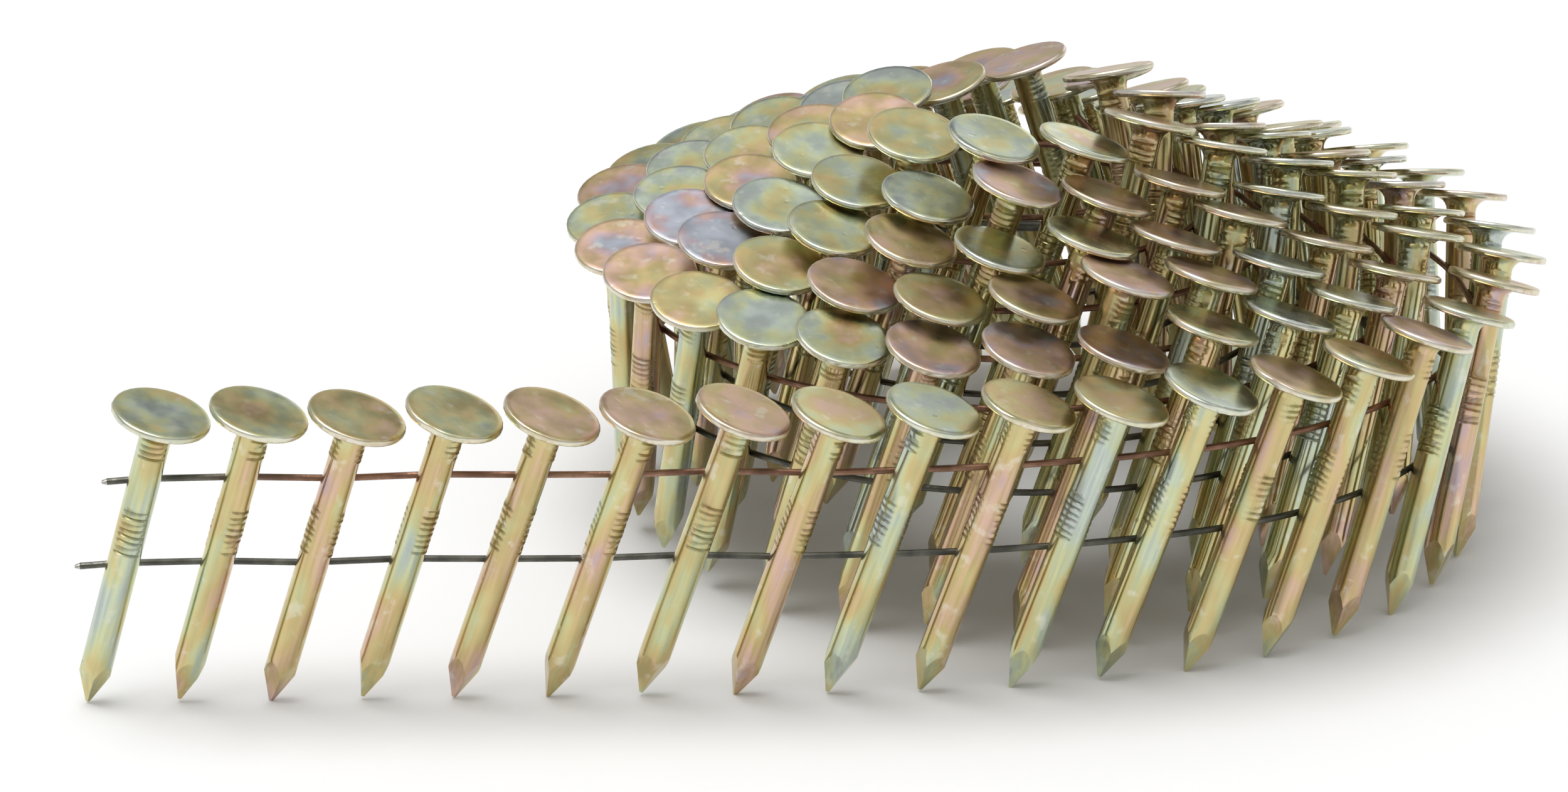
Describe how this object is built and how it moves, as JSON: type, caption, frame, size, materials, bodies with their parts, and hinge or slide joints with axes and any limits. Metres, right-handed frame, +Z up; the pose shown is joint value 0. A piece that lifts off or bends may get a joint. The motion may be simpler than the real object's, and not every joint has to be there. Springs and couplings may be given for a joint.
{
  "type": "coil of collated roofing nails",
  "caption": "Coil of wire-collated roofing nails with wide flat heads, stepped turn by turn into a low cone, its outer end drawn out into a straight tail that bends nail by nail.",
  "frame": {"origin": "on the axis of the coil, level with the lowest nail points", "axes": "+X along the tail towards the coil, +Y from the tail towards the middle of the coil, +Z up, along the axis of the coil"},
  "size_m": [0.148, 0.1076, 0.0464],
  "materials": {
    "nails": "electroplated zinc with an iridescent yellow chromate",
    "upper_wire": "drawn steel wire with a thin copper wash",
    "lower_wire": "plain drawn steel wire, darkened"
  },
  "bodies": {
    "coil": {"upper_wire": "upper_wire", "lower_wire": "lower_wire", "turn_1_nails": "nails", "turn_2_nails": "nails", "turn_3_nails": "nails", "turn_4_nails": "nails", "turn_5_nails": "nails", "turn_6_nails": "nails"},
    "tail_1": {"tail_nail_1": "nails", "upper_wire_link_1": "upper_wire", "lower_wire_link_1": "lower_wire"},
    "tail_2": {"tail_nail_2": "nails", "upper_wire_link_2": "upper_wire", "lower_wire_link_2": "lower_wire"},
    "tail_3": {"tail_nail_3": "nails", "upper_wire_link_3": "upper_wire", "lower_wire_link_3": "lower_wire"},
    "tail_4": {"tail_nail_4": "nails", "upper_wire_link_4": "upper_wire", "lower_wire_link_4": "lower_wire"},
    "tail_5": {"tail_nail_5": "nails", "upper_wire_link_5": "upper_wire", "lower_wire_link_5": "lower_wire"},
    "tail_6": {"tail_nail_6": "nails", "upper_wire_link_6": "upper_wire", "lower_wire_link_6": "lower_wire"},
    "tail_7": {"tail_nail_7": "nails", "upper_wire_link_7": "upper_wire", "lower_wire_link_7": "lower_wire"},
    "tail_8": {"tail_nail_8": "nails", "upper_wire_link_8": "upper_wire", "lower_wire_link_8": "lower_wire"}
  },
  "joints": [
    {"name": "tail_bend_1", "type": "hinge", "parent": "tail_2", "child": "tail_1", "pos_m": [-0.0852, -0.05041, 0], "axis": [0, 0, -1], "range_deg": [-12, 12]},
    {"name": "tail_bend_2", "type": "hinge", "parent": "tail_3", "child": "tail_2", "pos_m": [-0.07615, -0.05041, 0], "axis": [0, 0, -1], "range_deg": [-12, 12]},
    {"name": "tail_bend_3", "type": "hinge", "parent": "tail_4", "child": "tail_3", "pos_m": [-0.0671, -0.05041, 0], "axis": [0, 0, -1], "range_deg": [-12, 12]},
    {"name": "tail_bend_4", "type": "hinge", "parent": "tail_5", "child": "tail_4", "pos_m": [-0.05805, -0.05041, 0], "axis": [0, 0, -1], "range_deg": [-12, 12]},
    {"name": "tail_bend_5", "type": "hinge", "parent": "tail_6", "child": "tail_5", "pos_m": [-0.049, -0.05041, 0], "axis": [0, 0, -1], "range_deg": [-12, 12]},
    {"name": "tail_bend_6", "type": "hinge", "parent": "tail_7", "child": "tail_6", "pos_m": [-0.03995, -0.05041, 0], "axis": [0, 0, -1], "range_deg": [-12, 12]},
    {"name": "tail_bend_7", "type": "hinge", "parent": "tail_8", "child": "tail_7", "pos_m": [-0.0309, -0.05041, 0], "axis": [0, 0, -1], "range_deg": [-12, 12]},
    {"name": "tail_bend_8", "type": "hinge", "parent": "coil", "child": "tail_8", "pos_m": [-0.02185, -0.05041, 0], "axis": [0, 0, -1], "range_deg": [-12, 12]}
  ]
}
